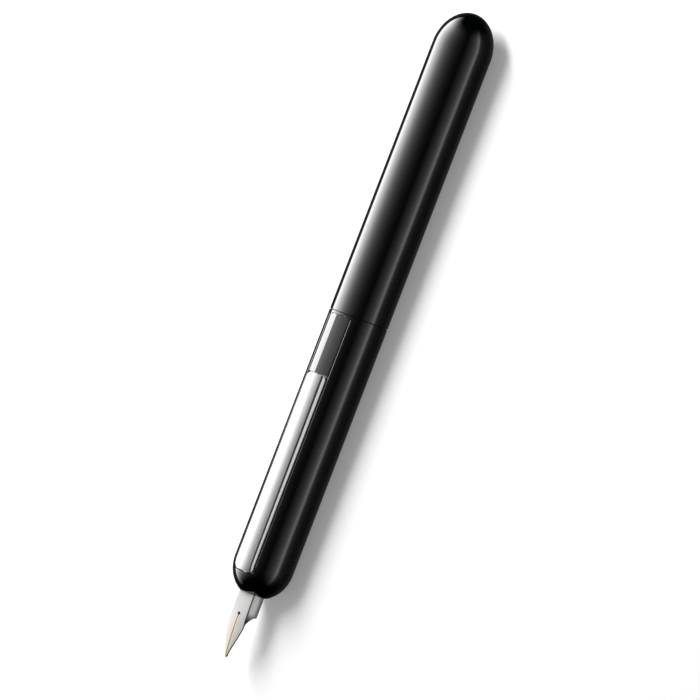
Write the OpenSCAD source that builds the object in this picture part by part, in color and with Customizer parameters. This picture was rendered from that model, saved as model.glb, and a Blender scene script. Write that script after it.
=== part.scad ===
// Retractable fountain pen with a twist drive, an eyelid shutter and a drop-in clip.
// The pen lies along X with its nib towards -X and its clip up.
// Stations called s are distances behind the mouth, along the axis.

/* [Body] */
// Diameter of the barrels
barrel_d = 13.7; // [13.4:0.1:16.6]
// Length of the body from the mouth to the rear end
body_len = 138; // [132:1:170]
// Distance from the mouth to the seam between the barrels
seam_s = 65.4; // [65:0.2:72]
// Wall thickness of the barrels
wall = 0.85; // [0.7:0.05:1]
// Length of the rounded rear end
dome_len = 8.9; // [6:0.1:11]
// Half axis of the ellipse that rounds the nose
nose_axis = 7.75; // [7.4:0.05:8.4]

/* [Nib] */
// How far the nib's tip stands out of the mouth
nib_out = 15.2; // [12:0.1:18]
// Width of the nib across its wings
nib_w = 4.9; // [4:0.1:5]
// Distance from the tip back to the shoulders
shoulder_len = 7.4; // [6:0.1:9]
// Travel of the nib between writing and stored
stroke = 26; // [26:0.5:28]

/* [Clip] */
// Distance from the mouth to the front end of the clip
clip_s = 4.4; // [4.3:0.1:6]
// Length of the clip
clip_len = 46.4; // [38:0.2:48]
// Width of the clip
clip_w = 5.66; // [5:0.02:5.8]
// Thickness of the clip
clip_t = 0.6; // [0.45:0.05:0.6]

/* [Fill] */
// Inner radius of the converter's ink tube
ink_r = 2.9; // [2.4:0.1:3]
// Travel of the converter's piston
piston_travel = 22; // [16:1:24]

/* [Fits] */
// Radial gap of a running fit
run_gap = 0.05; // [0.03:0.01:0.08]
// Side gap of a fixed piece in its seat
seat_gap = 0.03; // [0.02:0.01:0.05]
// Side gap of the clip and the panel in the slot
slot_gap = 0.1; // [0.08:0.01:0.2]

/* [Hidden] */
$fn = 96;

barrel_r = barrel_d / 2;
bore_r = barrel_r - wall;
core_r = bore_r - run_gap;
axis_z = barrel_r;
mouth_x = -(body_len - nib_out) / 2;
seam_half = 0.1;
seam_edge = 0.16;
eps = 0.01;
far = 20;

// Mouth and nose
mouth_r = nib_w / 2 + 0.65;
lip = 0.12;
lip_angle = asin((mouth_r + lip) / barrel_r);
nose_s = nose_axis * cos(lip_angle);
nose_wall = 1.1;
nose_steps = 24;

// Shutter: two spherical lids that turn about one cross axis
lid_out = bore_r - 0.7;
lid_in = lid_out - 0.4;
lid_s = 7.4;
lid_park = 52;
lid_span = 38;
lid_closed = 0.4;
lid_turn = lid_park - lid_closed;
cage_end = 12;
cage_r = lid_out + 0.1;
ring_cavity_r = lid_out - 0.35;
trunnion_r = 0.35;
crank_arm = 1.5;
crank_r = 0.25;
upper_hub_y = lid_out - 0.6;
lower_hub_y = lid_out - 1.2;
hub_t = 0.5;
hub_r = 1.1;
crank_web = 0.75;
crank_end_y = bore_r - 0.42;
crank_shift = crank_arm * sin(lid_turn / 2);
sled_travel = 2 * crank_shift;

// Sled: one push rod that works both lids and lifts the clip
rod_w = 1.5;
rod_low = core_r - 1.25;
rod_high = rod_low + 0.3;
yoke_s = 10.2;
yoke_t = 1.2;
arm_low = 0.65;
arm_high = 1.85;
arm_in_y = lid_out;
arm_out_y = bore_r - 0.4;
sled_pin_s = seam_s + 2.8;
sled_pin_r = 0.35;

// Chassis and drive
guide_r = bore_r - 0.9;
chassis_bore = core_r - 1.3;
carriage_r = chassis_bore - 0.1 - run_gap;
carriage_in = carriage_r - 0.4;
sleeve_in = guide_r + 0.1;
sleeve_start = seam_s + 0.3;
twist = 270;
follower_s = seam_s + 6.1;
follower_r = 0.6;
sleeve_end = follower_s + stroke + 3;
guide_end = sleeve_end + 2;
bottom = -90;
top = 90;

// Clip hinge
pivot_s = 10;
pivot_z = bore_r - 0.25;
pivot_r = 0.22;
hinge_hub_r = 0.45;
lever_t = 0.4;
lever_z = pivot_z - 0.35;
lever_half = 2;
lever_end = clip_s + clip_len - 1.4;
wedge_slope = 30;
wedge_arm = 18;
foot_r = 0.3;
foot_s = pivot_s + wedge_arm;
clip_end = clip_s + clip_len;
slot_half = clip_w / 2 + slot_gap;
slot_start = clip_s - 0.25;
slot_end = seam_s - 0.6;
slot_fillet = 0.4;
clip_dip = 0.47;
shelf_z = sqrt(pow(barrel_r, 2) - pow(clip_w / 2, 2)) + 0.04;
face_front = 2.05;
face_rear = 1.68;

// Nib unit and converter
nib_t = 0.3;
nib_top = 2.05;
nib_tip_top = 1.15;
nib_root = 6;
vent_s = -5;
vent_r = 0.35;
wing_low = -1.45;
section_s = 2.6;
section_r = mouth_r + 0.25;
section_bore = mouth_r - 0.05;
feed_r = nib_w / 2 - nib_t - 0.1;
shoulder_s = 12.3;
section_end = 24;
ink_out = ink_r + 0.6;
ink_s = section_end + 2.6;
ink_end = ink_s + piston_travel + 18;
piston_s = ink_s + 4;
piston_len = 5;
rod_r = 0.95;
rod_len = piston_travel + 4;
collar_end = ink_end + 10;
knob_len = 13.5;
ring_wire = 0.21;

// Places its children on the axis at station s.
module on_axis(s = 0) {
  translate([mouth_x + s, 0, axis_z]) children();
}

// Places a shape that is drawn about Z so that it lies along the axis.
module turned(s = 0) {
  on_axis(s) rotate([0, 90, 0]) children();
}

module rod(s0, s1, r) {
  turned(s0) cylinder(h = s1 - s0, r = r);
}

module tube(s0, s1, ro, ri) {
  difference() {
    rod(s0, s1, ro);
    rod(s0 - 1, s1 + 1, ri);
  }
}

module block(s0, s1, y0, y1, z0, z1) {
  on_axis() translate([s0, y0, z0]) cube([s1 - s0, y1 - y0, z1 - z0]);
}

module cross_rod(s, z, r, y0, y1) {
  on_axis(s) translate([0, y0, z]) rotate([-90, 0, 0]) cylinder(h = y1 - y0, r = r);
}

module upright_rod(s, y, r, z0, z1) {
  on_axis(s) translate([0, y, z0]) cylinder(h = z1 - z0, r = r);
}

// Extrudes an outline drawn in (s, z) across Y.
module side_plate(y0, y1) {
  on_axis() translate([0, y1, 0]) rotate([90, 0, 0]) linear_extrude(height = y1 - y0) children();
}

// Extrudes an outline drawn in (s, y) up Z.
module flat_plate(z0, z1) {
  on_axis() translate([0, 0, z0]) linear_extrude(height = z1 - z0) children();
}

module rounded_rect(s0, s1, half, r) {
  translate([s0 + r, -half]) square([s1 - s0 - 2 * r, 2 * half]);
  translate([s0, -half + r]) square([s1 - s0, 2 * half - 2 * r]);
  for (s = [s0 + r, s1 - r], y = [-half + r, half - r]) translate([s, y]) circle(r = r);
}

// Points of the nose's ellipse, as [radius, station], from radius r_start out to r_full.
function nose_curve(r_full, axis_len, r_start) = let (a0 = asin(r_start / r_full))
  [for (i = [0:nose_steps]) let (a = a0 + (90 - a0) * i / nose_steps) [r_full * sin(a), nose_s - axis_len * cos(a)]];

function dome_curve(r_full, len, s_base) =
  [for (i = [0:nose_steps]) let (a = 90 - 90 * i / nose_steps) [r_full * sin(a), s_base + len * cos(a)]];

function reversed(v) = [for (i = [len(v) - 1:-1:0]) v[i]];

// Solid inside the nose, up to station s_end.
module nose_core(r_full, axis_len, s_end) {
  turned() rotate_extrude() polygon(concat(
    [[0, s_end], [0, nose_s - axis_len * cos(asin(mouth_r / r_full))]],
    nose_curve(r_full, axis_len, mouth_r), [[r_full, s_end]]));
}

module nose_outside(extra, s_end, edge = 0) {
  turned() rotate_extrude() polygon(concat(
    [[0, s_end], [0, 0]],
    nose_curve(barrel_r + extra, nose_axis + extra, mouth_r + lip),
    [[barrel_r + extra, s_end - edge], [barrel_r + extra - edge, s_end]]));
}

// Helical slab that cuts a track in a sleeve: from azimuth a0 it runs back by turn degrees while s moves by travel.
module track(a0, s0, turn, travel, half_w, r0, r1, margin) {
  steps = 54;
  a_start = -margin;
  a_step = (turn + 2 * margin) / steps;
  pts = [for (i = [0:steps]) let (t = a_start + a_step * i, a = a0 - t, s = s0 + travel * t / turn)
    for (c = [[r0, -half_w], [r1, -half_w], [r1, half_w], [r0, half_w]])
      [s + c[1], c[0] * cos(a), c[0] * sin(a)]];
  last = 4 * steps;
  sides = [for (i = [0:steps - 1], k = [0:3]) let (p = 4 * i + k, q = 4 * i + (k + 1) % 4)
    each [[p, p + 4, q + 4], [p, q + 4, q]]];
  on_axis() polyhedron(points = pts, faces = concat([[0, 1, 2], [0, 2, 3]], sides,
    [[last + 2, last + 1, last], [last + 3, last + 2, last]]));
}

module front_barrel() {
  color("#0b0b0d") difference() {
    nose_outside(0, seam_s - seam_half, seam_edge);
    nose_core(bore_r, nose_axis - nose_wall, seam_s + 1);
    rod(-1, nose_s, mouth_r);
    slot_cut();
    clip_pin_hole();
  }
}

module slot_cut() {
  flat_plate(bore_r - 1.2, far) rounded_rect(slot_start, slot_end, slot_half, 1.2);
  r = slot_fillet;
  y = slot_half + r;
  z = sqrt(pow(barrel_r - r, 2) - pow(y, 2));
  on_axis(slot_start + r) rotate([90, 0, 90]) linear_extrude(height = slot_end - slot_start - 2 * r)
    difference() {
      polygon([[-y, z], [y, z], [2 * y, 2 * z], [-2 * y, 2 * z]]);
      for (side = [-1, 1]) translate([side * y, z]) circle(r = r);
    }
}

module clip_pin_hole() {
  cross_rod(pivot_s, pivot_z, pivot_r, -slot_half - 0.45, slot_half + 0.45);
}

module seal_ring() {
  color("#3a3a3c") difference() {
    intersection() {
      nose_core(core_r, nose_axis - nose_wall - run_gap, far);
      rod(0, 3.4, barrel_r);
    }
    on_axis(lid_s) sphere(r = lid_out + 0.06);
    rod(-1, far, mouth_r + 0.05);
    rod(section_s - 0.1, far, section_r + run_gap);
  }
}

module shutter_cage() {
  color("#8e9094") difference() {
    intersection() {
      nose_core(core_r, nose_axis - nose_wall - run_gap, far);
      rod(3.4 + seat_gap, cage_end, barrel_r);
    }
    on_axis(lid_s) sphere(r = cage_r);
    rod(lid_s, lid_s + 2, cage_r);
    rod(lid_s, cage_end + 1, ring_cavity_r);
    cross_rod(lid_s, 0, trunnion_r, -barrel_r, barrel_r);
    arm_window(-1);
    arm_window(1);
    block(2, 5.2, -barrel_r, barrel_r, bore_r - 0.7, far);
    block(5.2 - eps, 9.3, -barrel_r, barrel_r, bore_r - 0.3, far);
    difference() {
      block(3, 8.5, -slot_half, slot_half, 3, far);
      nose_outside(-clip_t - clip_dip, far);
    }
    block(9.3 - eps, far, -barrel_r, barrel_r, bore_r - 0.72, far);
    block(9, cage_end + 1, -rod_w / 2 - 0.12, rod_w / 2 + 0.12, 0, rod_high + 0.08);
  }
}

// Window for one sled arm: the left arm is above the axis, the right arm is below it.
module arm_window(side) {
  z0 = side < 0 ? arm_low - 0.1 : -arm_high - 0.1;
  z1 = side < 0 ? arm_high + 0.1 : -arm_low + 0.1;
  y0 = side < 0 ? -barrel_r : ring_cavity_r - 0.4;
  y1 = side < 0 ? -ring_cavity_r + 0.4 : barrel_r;
  block(lid_s - 1.55, cage_end + 1, y0, y1, z0, z1);
}

module trunnion_left() {
  color("#c9cbce") cross_rod(lid_s, 0, trunnion_r, -core_r + 0.1, -lower_hub_y + 0.1);
}

module trunnion_right() {
  color("#c9cbce") cross_rod(lid_s, 0, trunnion_r, lower_hub_y - 0.1, core_r - 0.1);
}

// Turns a profile, drawn as (radius, y), about the lids' cross axis, from angle a0 to a1 above (side 1)
// or below (side -1) the forward direction.
module lid_sweep(side, a0, a1) {
  start = side > 0 ? 180 - a1 : 180 + a0;
  on_axis(lid_s) rotate([90, 0, 0]) rotate([0, 0, start]) rotate_extrude(angle = a1 - a0) children();
}

module shell_profile() {
  difference() {
    circle(r = lid_out);
    circle(r = lid_in);
    translate([-far, -far]) square([far + 0.5, 2 * far]);
  }
}

module crank(side, y0, y1) {
  cross_rod(lid_s + crank_shift, side * crank_arm * cos(lid_turn / 2), crank_r, y0, y1);
}

module lid_bore() {
  cross_rod(lid_s, 0, trunnion_r + run_gap, -barrel_r, barrel_r);
}

module lid_upper() {
  color("#d7d8da") difference() {
    union() {
      lid_sweep(1, lid_park, lid_park + lid_span) shell_profile();
      cross_rod(lid_s, 0, hub_r, -upper_hub_y - hub_t, -upper_hub_y);
      cross_rod(lid_s, 0, hub_r, upper_hub_y, upper_hub_y + hub_t);
      lid_sweep(1, lid_park + 3, 130) translate([hub_r - 0.3, upper_hub_y + 0.02]) square([crank_web + 0.3, 0.25]);
      crank(1, -crank_end_y, -upper_hub_y - 0.1);
    }
    lid_bore();
  }
}

module lid_lower() {
  color("#d7d8da") difference() {
    union() {
      lid_sweep(-1, lid_park, lid_park + lid_span) union() {
        difference() {
          shell_profile();
          for (y = [-far, lower_hub_y + hub_t + 0.03]) translate([0, y])
            square([hub_r + 0.15, far - lower_hub_y - hub_t - 0.03]);
        }
        for (y = [-lower_hub_y - hub_t, lower_hub_y]) translate([hub_r - 0.3, y]) square([1.4, hub_t]);
      }
      for (y = [-lower_hub_y - hub_t, lower_hub_y]) cross_rod(lid_s, 0, hub_r, y, y + hub_t);
      lid_sweep(-1, lid_park + 3, 130) translate([hub_r - 0.3, -lower_hub_y - hub_t + 0.05])
        square([crank_web + 0.3, hub_t - 0.1]);
      crank(-1, lower_hub_y + 0.1, crank_end_y);
    }
    lid_bore();
  }
}

module sled_arm(side) {
  y0 = side < 0 ? -arm_out_y : arm_in_y;
  y1 = side < 0 ? -arm_in_y : arm_out_y;
  root0 = side < 0 ? -arm_out_y : ring_cavity_r - 0.6;
  root1 = side < 0 ? -ring_cavity_r + 0.6 : arm_out_y;
  up = -side;
  z0 = up > 0 ? arm_low : -arm_high;
  z1 = up > 0 ? arm_high : -arm_low;
  slot_s = lid_s + crank_shift;
  slot_w = crank_r + run_gap;
  block(yoke_s, yoke_s + yoke_t, root0, root1, z0, z1);
  difference() {
    block(slot_s - slot_w - 0.4, yoke_s + eps, y0, y1, z0, z1);
    block(slot_s - slot_w, slot_s + slot_w, -far, far, up > 0 ? 1 : -far, up > 0 ? far : -1);
  }
}

module sled() {
  rise = lever_z + lever_t + 0.1 - rod_high;
  run = rise / tan(wedge_slope);
  base_s = foot_s - ((lever_z - rod_high) - (foot_r + 0.04) / cos(wedge_slope)) / tan(wedge_slope);
  color("#b9bcc0") union() {
    tube(yoke_s, yoke_s + yoke_t, ring_cavity_r - run_gap, ring_cavity_r - 0.65);
    sled_arm(-1);
    sled_arm(1);
    block(yoke_s, sled_pin_s + 1, -rod_w / 2, rod_w / 2, rod_low, rod_high);
    side_plate(-rod_w / 2, rod_w / 2)
      polygon([[base_s, rod_high - eps], [base_s + run, rod_high + rise], [base_s + run + 0.3, rod_high + rise],
        [base_s + run + 0.3, rod_high - eps]]);
  }
}

module sled_pin() {
  color("#8f9296") upright_rod(sled_pin_s, 0, sled_pin_r, rod_high, sleeve_in + 0.4);
}

module chassis() {
  color("#c2a14e") difference() {
    union() {
      tube(cage_end + 0.05, seam_s - seam_half, core_r, chassis_bore);
      tube(seam_s - 1, guide_end, guide_r, chassis_bore);
    }
    block(cage_end - 1, seam_s + 5, -rod_w / 2 - 0.1, rod_w / 2 + 0.1, 1, far);
    block(cage_end - 1, clip_end + 0.5, -lever_half - 0.15, lever_half + 0.15, lever_z - 0.1, far);
    block(follower_s - follower_r - 0.2, follower_s + stroke + follower_r + 0.2, -follower_r - run_gap,
      follower_r + run_gap, -far, 0);
    tube(guide_end - 1.2, guide_end - 0.4, guide_r + 1, guide_r - 0.15);
    tube(seam_s - 6, seam_s - 4.8, core_r + 1, core_r - 0.5);
  }
}

module chassis_ring() {
  color("#2a2a2c") difference() {
    tube(seam_s - 5.9, seam_s - 4.9, core_r, core_r - 0.48);
    block(seam_s - 7, seam_s, -lever_half - 1, lever_half + 1, 0, far);
  }
}

module retaining_ring() {
  color("#8f9296") difference() {
    tube(guide_end - 1.15, guide_end - 0.45, guide_r + 0.4, guide_r - 0.13);
    block(guide_end - 2, guide_end, -0.8, 0.8, 0, far);
  }
}

module seam_washer() {
  color("#161618") difference() {
    tube(seam_s - seam_half + 0.02, seam_s + seam_half - 0.02, barrel_r - 0.25, guide_r + seat_gap);
    block(seam_s - 1, seam_s + 1, -rod_w / 2 - 0.1, rod_w / 2 + 0.1, 0, rod_high + 0.1);
  }
}

module slot_panel() {
  color("#0b0b0d") difference() {
    intersection() {
      rod(clip_end + 0.15, slot_end - 0.1, barrel_r - 0.02);
      flat_plate(1, far) rounded_rect(clip_end - 2, slot_end - 0.1, clip_w / 2, 1.1);
    }
    rod(clip_end, slot_end, bore_r);
  }
}

module clip_pin() {
  color("#c9cbce") cross_rod(pivot_s, pivot_z, pivot_r, -slot_half - 0.45, slot_half + 0.45);
}

module clip_spring() {
  rise = 0.42;
  half = 1.8;
  r = (pow(half, 2) + pow(rise, 2)) / (2 * rise);
  mid = 7.2;
  foot_z = bore_r - 0.28;
  color("#a9acb0") intersection() {
    difference() {
      cross_rod(mid, foot_z + rise - r, r, -0.9, 0.9);
      cross_rod(mid, foot_z + rise - r, r - 0.12, -1, 1);
    }
    block(mid - half, mid + half, -1, 1, foot_z, far);
  }
}

module hinge_ear(y0, y1) {
  cross_rod(pivot_s, pivot_z, hinge_hub_r, y0, y1);
}

module clip_lever() {
  color("#a9acb0") difference() {
    union() {
      for (y = [-lever_half, lever_half - 0.5]) {
        hinge_ear(y, y + 0.5);
        block(pivot_s, pivot_s + 1.2, y, y + 0.5, lever_z, lever_z + lever_t);
      }
      block(pivot_s + 0.8, lever_end, -lever_half, lever_half, lever_z, lever_z + lever_t);
      cross_rod(foot_s, lever_z, foot_r, -rod_w / 2, rod_w / 2);
    }
    cross_rod(pivot_s, pivot_z, pivot_r + run_gap, -far, far);
    block(foot_s + foot_r, foot_s + foot_r + 2.2, -rod_w / 2 - 0.2, rod_w / 2 + 0.2, 0, far);
  }
}

// Clip: a shell that carries on the curve of the barrel, with a raised tapered face and rounded corners.
module clip() {
  half = clip_w / 2;
  ear_in = lever_half + 0.1;
  color("#d9dbde") difference() {
    union() {
      intersection() {
        difference() {
          nose_outside(0, far + clip_end);
          nose_outside(-clip_t, far + clip_end);
          shelf_cut(-1);
          shelf_cut(1);
        }
        flat_plate(2, far) rounded_rect(clip_s, clip_end, half, 1.1);
      }
      for (y = [-half, ear_in]) hinge_ear(y, y + half - ear_in);
    }
    cross_rod(pivot_s, pivot_z, pivot_r + run_gap, -far, far);
    cross_rod(pivot_s, pivot_z, hinge_hub_r + 0.07, -lever_half - 0.07, lever_half + 0.07);
  }
}

// Step that lowers one long edge of the clip to a flat shelf beside its tapered face.
module shelf_cut(side) {
  flat_plate(shelf_z, far) polygon([[clip_s - 1, side * face_front], [clip_end + 1, side * face_rear],
    [clip_end + 1, side * far], [clip_s - 1, side * far]]);
}

module drive_sleeve() {
  half = (follower_r + run_gap) / cos(atan(stroke / (twist * PI / 180) / sleeve_in)) + 0.12;
  color("#c2a14e") difference() {
    tube(sleeve_start, sleeve_end, core_r, sleeve_in);
    track(bottom, follower_s, twist, stroke, half, sleeve_in - 1, core_r + 1, 9);
    track(top, sled_pin_s, twist, -sled_travel, sled_pin_r + 0.09, sleeve_in - 1, sleeve_in + 0.47, 5);
    tube(sleeve_end - 2, sleeve_end - 1.2, core_r + 1, core_r - 0.45);
  }
}

module sleeve_ring() {
  color("#1c1c1e") turned(sleeve_end - 1.6) rotate_extrude() translate([core_r - ring_wire, 0])
    circle(r = ring_wire + run_gap / 2);
}

module rear_barrel() {
  s0 = seam_s + seam_half;
  base = body_len - dome_len;
  color("#0b0b0d") turned() rotate_extrude() polygon(concat(
    [[bore_r, s0], [barrel_r - seam_edge, s0], [barrel_r, s0 + seam_edge]], dome_curve(barrel_r, dome_len, base),
    reversed(dome_curve(bore_r - 0.6, dome_len - 2, base - 1.5)),
    [[bore_r - 0.6, guide_end + 3], [bore_r, guide_end + 3]]));
}

module rear_bush() {
  color("#c2a14e") tube(guide_end + 3.1, guide_end + 15, bore_r - 0.6, bore_r - 1.2);
}

module rear_weight() {
  color("#c2a14e") tube(guide_end + 17, guide_end + 25, bore_r - 0.6, 2.6);
}

module carriage() {
  color("#b9bcc0") difference() {
    tube(shoulder_s + 0.6, follower_s + 2, carriage_r, carriage_in);
    upright_rod(follower_s, 0, follower_r, -far, 0);
    for (a = [0, 180]) on_axis(40) rotate([a, 0, 0]) translate([0, 0, -1.2]) cube([22, far, 2.4]);
  }
}

module follower_pin() {
  color("#8f9296") upright_rod(follower_s, 0, follower_r, -core_r + 0.1, -carriage_in - 0.05);
}

module section() {
  color("#151517") difference() {
    turned() rotate_extrude() polygon([[0, section_s], [section_r - 0.2, section_s], [section_r, section_s + 0.3],
      [section_r, shoulder_s - 1.6], [carriage_r - 0.1, shoulder_s], [carriage_r - 0.1, shoulder_s + 0.55],
      [carriage_in - 0.02, shoulder_s + 0.55], [carriage_in - 0.02, section_end], [0, section_end]]);
    rod(0, nib_root + 0.1, section_bore);
    rod(0, section_end - 6, feed_r + 0.02);
    rod(0, far + section_end, 0.8);
    tube(18, 19.2, carriage_r, carriage_in - 0.45);
  }
}

module section_ring() {
  color("#1c1c1e") turned(18.6) rotate_extrude() translate([carriage_in - ring_wire - 0.01, 0]) circle(r = ring_wire);
}

// Half width of the nib at distance d behind its tip.
function nib_half(d) = let (t = min(d / shoulder_len, 1)) 0.28 + (nib_w / 2 - 0.28) * pow(sin(90 * t), 1.15);

// Side outline of the nib's bent top plate.
module nib_side() {
  polygon([[-nib_out + 0.5, nib_tip_top], [vent_s - 2, nib_top - 0.12], [vent_s + 1, nib_top], [nib_root, nib_top],
    [nib_root, nib_top - nib_t], [vent_s + 1, nib_top - nib_t], [vent_s - 2, nib_top - nib_t - 0.12],
    [-nib_out + 0.5, nib_tip_top - nib_t]]);
}

module nib_outline() {
  steps = 20;
  tail = 0.5;
  polygon(concat(
    [for (i = [0:steps]) let (d = tail + (shoulder_len - tail) * i / steps) [-nib_out + d, nib_half(d)]],
    [[nib_root, nib_w / 2], [nib_root, -nib_w / 2]],
    [for (i = [steps:-1:0]) let (d = tail + (shoulder_len - tail) * i / steps) [-nib_out + d, -nib_half(d)]]));
}

// Wing that folds down beside the feed.
module nib_wing(y0, y1) {
  side_plate(y0, y1) difference() {
    polygon([[vent_s - 2, nib_top - 0.12], [vent_s + 1, nib_top], [nib_root, nib_top], [nib_root, wing_low],
      [vent_s, wing_low], [vent_s - 2, 1.2]]);
    translate([vent_s - 2.4, -0.9]) circle(r = 2.1);
  }
}

module nib() {
  color("#cfd2d6") difference() {
    intersection() {
      union() {
        side_plate(-nib_w / 2, nib_w / 2) nib_side();
        nib_wing(-nib_w / 2, -nib_w / 2 + nib_t);
        nib_wing(nib_w / 2 - nib_t, nib_w / 2);
      }
      flat_plate(-5, 5) nib_outline();
      rod(-nib_out - 1, nib_root + 1, mouth_r - 0.08);
    }
    upright_rod(vent_s, 0, vent_r, 0, far);
    block(-nib_out - 1, vent_s, -0.05, 0.05, 0, far);
  }
}

module nib_tipping() {
  color("#b4b7bb") difference() {
    on_axis(-nib_out) translate([0.45, 0, nib_tip_top - nib_t / 2 - 0.05]) sphere(r = 0.45);
    side_plate(-1, 1) nib_side();
    block(-nib_out + 0.5, vent_s, -0.05, 0.05, 0, far);
  }
}

module feed() {
  top_z = nib_top - nib_t - 0.02;
  color("#141416") difference() {
    intersection() {
      rod(-nib_out + 3, section_end - 6, feed_r);
      side_plate(-feed_r, feed_r) polygon([[-nib_out + 3.2, 0.75], [vent_s - 2, top_z - 0.14], [vent_s + 1, top_z],
        [section_end - 6, top_z], [section_end - 6, -feed_r], [1, -feed_r], [vent_s - 1, -1.3], [-nib_out + 3.6, 0.45]]);
      flat_plate(-5, 5) polygon([[-nib_out + 3, 0.3], [vent_s - 2, 1.2], [1, feed_r], [section_end, feed_r],
        [section_end, -feed_r], [1, -feed_r], [vent_s - 2, -1.2], [-nib_out + 3, -0.3]]);
    }
    for (i = [0:6]) block(-3.6 + 0.7 * i, -3.35 + 0.7 * i, -3, 3, -3, -0.9);
  }
}

module nipple() {
  color("#151517") tube(section_end - 5, ink_s + 1.4, 0.8, 0.35);
}

module ink_tube() {
  color("#dfe6ea") difference() {
    tube(ink_s, ink_end, ink_out, ink_r);
    rod(ink_s - 1, ink_s + 1, 1);
  }
  color("#dfe6ea") tube(ink_s, ink_s + 1.2, ink_r + 0.3, 0.8);
}

module converter_collar() {
  color("#c9cbce") tube(ink_end - 4, collar_end, min(ink_out + 0.3, carriage_in - 0.1), ink_out);
}

module collar_ring() {
  color("#1c1c1e") tube(ink_end + 0.1, ink_end + 2.1, ink_out - seat_gap, 2.2);
}

module piston() {
  color("#e9eaec") difference() {
    rod(piston_s, piston_s + piston_len, ink_r - run_gap);
    for (s = [piston_s + 0.9, piston_s + 3.1]) tube(s, s + 1, ink_r + 1, ink_r - 0.5);
    rod(piston_s + 2, piston_s + piston_len + 1, rod_r);
  }
}

module seal_band(s) {
  color("#2a2a2c") tube(s, s + 0.9, ink_r - run_gap + 0.02, ink_r - 0.49);
}

module piston_seal_front() {
  seal_band(piston_s + 0.95);
}

module piston_seal_rear() {
  seal_band(piston_s + 3.15);
}

module piston_rod() {
  color("#b9bcc0") rod(piston_s + 2, piston_s + piston_len + rod_len, rod_r);
}

module knob_nut() {
  color("#c9cbce") tube(piston_s + piston_len + rod_len - 3, collar_end + 0.5, 2.1, rod_r + run_gap);
}

module knob() {
  flute_n = 24;
  knob_r = min(ink_out + 0.2, carriage_in - 0.2);
  color("#151517") difference() {
    tube(collar_end + 0.1, collar_end + 0.1 + knob_len, knob_r, 2.1);
    for (i = [0:flute_n - 1]) on_axis(collar_end + 1.5) rotate([360 * i / flute_n, 0, 0])
      translate([0, 0, knob_r + 0.12]) rotate([0, 90, 0]) cylinder(h = knob_len, r = 0.3);
  }
}

module knob_cap() {
  color("#c9cbce") rod(collar_end + 0.1 + knob_len, collar_end + 1.3 + knob_len, ink_out - 0.2);
}

front_barrel();
seal_ring();
shutter_cage();
trunnion_left();
trunnion_right();
chassis();
slot_panel();
clip_pin();
clip_spring();
seam_washer();
chassis_ring();
retaining_ring();
lid_upper();
lid_lower();
sled();
sled_pin();
clip_lever();
clip();
drive_sleeve();
sleeve_ring();
rear_barrel();
rear_bush();
rear_weight();
carriage();
follower_pin();
section();
section_ring();
nib();
nib_tipping();
feed();
nipple();
ink_tube();
converter_collar();
collar_ring();
piston();
piston_seal_front();
piston_seal_rear();
piston_rod();
knob();
knob_nut();
knob_cap();
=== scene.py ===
"""Looks of a retractable fountain pen: lacquered barrels, a drop-in clip, a two-tone nib and the parts inside."""

from __future__ import annotations

import logging
import math
from dataclasses import dataclass, field
from enum import Enum
from typing import Callable, Iterable, Sequence

import bmesh
import bpy
import numpy as np
from mathutils import Matrix, Vector

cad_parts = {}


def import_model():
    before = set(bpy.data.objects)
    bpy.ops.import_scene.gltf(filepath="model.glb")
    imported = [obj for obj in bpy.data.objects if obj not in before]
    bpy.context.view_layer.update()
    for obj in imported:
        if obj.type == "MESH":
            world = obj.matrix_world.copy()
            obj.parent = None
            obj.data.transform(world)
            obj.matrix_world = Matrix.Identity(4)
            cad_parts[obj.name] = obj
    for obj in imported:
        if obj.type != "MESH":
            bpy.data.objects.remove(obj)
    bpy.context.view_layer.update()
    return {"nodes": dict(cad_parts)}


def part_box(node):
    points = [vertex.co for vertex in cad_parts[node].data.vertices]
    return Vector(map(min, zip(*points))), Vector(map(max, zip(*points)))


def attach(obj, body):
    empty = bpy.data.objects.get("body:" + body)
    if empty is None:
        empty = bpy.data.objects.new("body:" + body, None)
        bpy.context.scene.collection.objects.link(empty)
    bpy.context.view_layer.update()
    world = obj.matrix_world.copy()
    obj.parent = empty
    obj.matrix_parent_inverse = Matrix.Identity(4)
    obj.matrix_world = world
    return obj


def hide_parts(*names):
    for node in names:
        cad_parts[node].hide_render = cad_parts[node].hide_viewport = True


LOG = logging.getLogger("pen")
MM = 0.001

Point = tuple[float, float, float]


# --------------------------------------------------------------------------- shader building


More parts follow.
